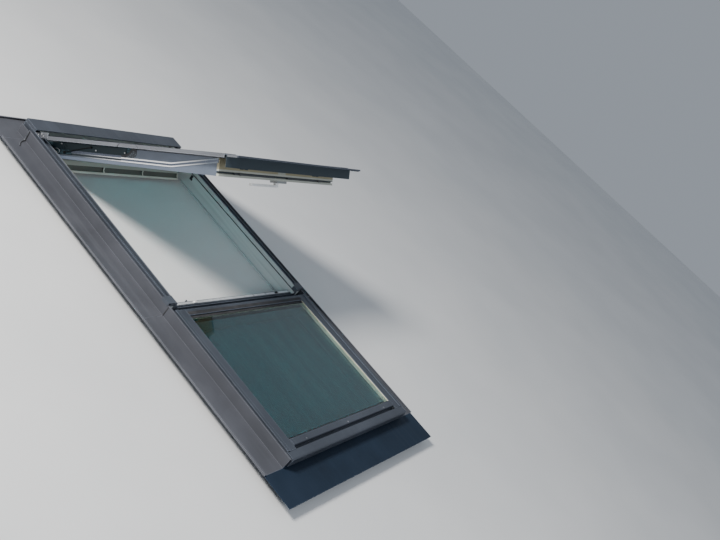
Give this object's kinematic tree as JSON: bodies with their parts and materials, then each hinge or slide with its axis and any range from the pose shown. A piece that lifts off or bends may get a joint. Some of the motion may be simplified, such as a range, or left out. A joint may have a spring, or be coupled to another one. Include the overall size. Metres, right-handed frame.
{
  "type": "roof window",
  "caption": "Pitched-roof window with a top-hung, pivoting timber sash standing open above a fixed light, both clad in grey metal covers and edged by one run of flashing.",
  "frame": {"origin": "middle of the flashing's outline, on the plane of the timber frames' undersides", "axes": "+X across the roof to the right seen from below the slope, +Y up the slope, +Z out of the roof"},
  "size_m": [1.46, 2.61, 0.9092],
  "materials": {
    "frame_timber": "white painted",
    "sash_timber": "cream painted",
    "fixed_glass": "clear, coated",
    "sash_glass": "clear, coated",
    "spacer": "matt",
    "seal": "matt",
    "cladding": "satin lacquer",
    "flashing": "satin lacquer",
    "skirt": "satin lacquer",
    "arm_cover": "satin lacquer",
    "steel": "zinc plated",
    "rod": "dark plated",
    "screw": "plated",
    "trim": "polished",
    "moulding": "matt",
    "lock": "satin",
    "lever": "satin white",
    "flap": "cream painted"
  },
  "bodies": {
    "frame": {"upper_jamb_right": "frame_timber", "upper_jamb_left": "frame_timber", "upper_head": "frame_timber", "upper_sill": "frame_timber", "lower_jamb_right": "frame_timber", "lower_jamb_left": "frame_timber", "lower_head": "frame_timber", "lower_sill": "frame_timber", "fixed_outer_pane": "fixed_glass", "fixed_inner_pane": "fixed_glass", "fixed_spacer": "spacer", "fixed_seat_seal": "seal", "fixed_seal": "seal", "lower_side_cover_right": "cladding", "lower_side_cover_left": "cladding", "lower_top_cover": "cladding", "glazing_bar": "cladding", "glazing_bar_screws": "screw", "front_cover": "cladding", "upper_side_cover_right": "cladding", "upper_side_cover_left": "cladding", "sill_cover": "cladding", "corner_caps": "moulding", "hood": "cladding", "lower_flashings": "flashing", "upper_flashings": "flashing", "apron": "flashing", "head_flashing": "flashing", "flashing_clips": "steel", "brackets": "steel", "hinge_plates": "steel", "keepers": "steel", "frame_gaskets": "seal"},
    "arms": {"arm_right": "steel", "arm_left": "steel", "arm_covers": "arm_cover", "arm_rails": "cladding", "stay_rods": "rod"},
    "sash": {"stile_right": "sash_timber", "stile_left": "sash_timber", "top_rail": "sash_timber", "bottom_rail": "sash_timber", "sash_outer_pane": "sash_glass", "sash_inner_pane": "sash_glass", "sash_spacer": "spacer", "sash_seat_seal": "seal", "sash_seal": "seal", "sash_rails": "cladding", "sash_top_cover": "cladding", "drip_cover": "cladding", "skirt": "skirt", "pivot_sliders": "moulding", "side_trims": "trim", "lock_case": "lock"},
    "handle": {"handle": "lever"},
    "bolt_right": {"bolt_right": "steel"},
    "bolt_left": {"bolt_left": "steel"},
    "vent": {"vent_flap": "flap"}
  },
  "joints": [
    {"name": "sash_hinge", "type": "hinge", "parent": "frame", "child": "arms", "pos_m": [0, 1.035, 0.112], "axis": [-1, 0, 0], "range_deg": [-36.5, 8.5]},
    {"name": "sash_pivot", "type": "hinge", "parent": "arms", "child": "sash", "pos_m": [0, 0.61417, 0.47129], "axis": [-1, 0, 0], "range_deg": [0, 155]},
    {"name": "handle_turn", "type": "hinge", "parent": "sash", "child": "handle", "pos_m": [0, 0.08531, 0.71148], "axis": [0, -0.5948, -0.8039], "range_deg": [0, 90]},
    {"name": "bolt_right_slide", "type": "slide", "parent": "sash", "child": "bolt_right", "axis": [1, 0, 0], "range_m": [0, 0.02]},
    {"name": "bolt_left_slide", "type": "slide", "parent": "sash", "child": "bolt_left", "axis": [-1, 0, 0], "range_m": [0, 0.02]},
    {"name": "vent_flap_turn", "type": "hinge", "parent": "sash", "child": "vent", "pos_m": [0, 0.95937, 0.07031], "axis": [1, 0, 0], "range_deg": [0, 88]}
  ],
  "couplings": [
    {"joint": "bolt_right_slide", "follows": "handle_turn", "m_per_rad": 0.012732},
    {"joint": "bolt_left_slide", "follows": "handle_turn", "m_per_rad": 0.012732}
  ]
}
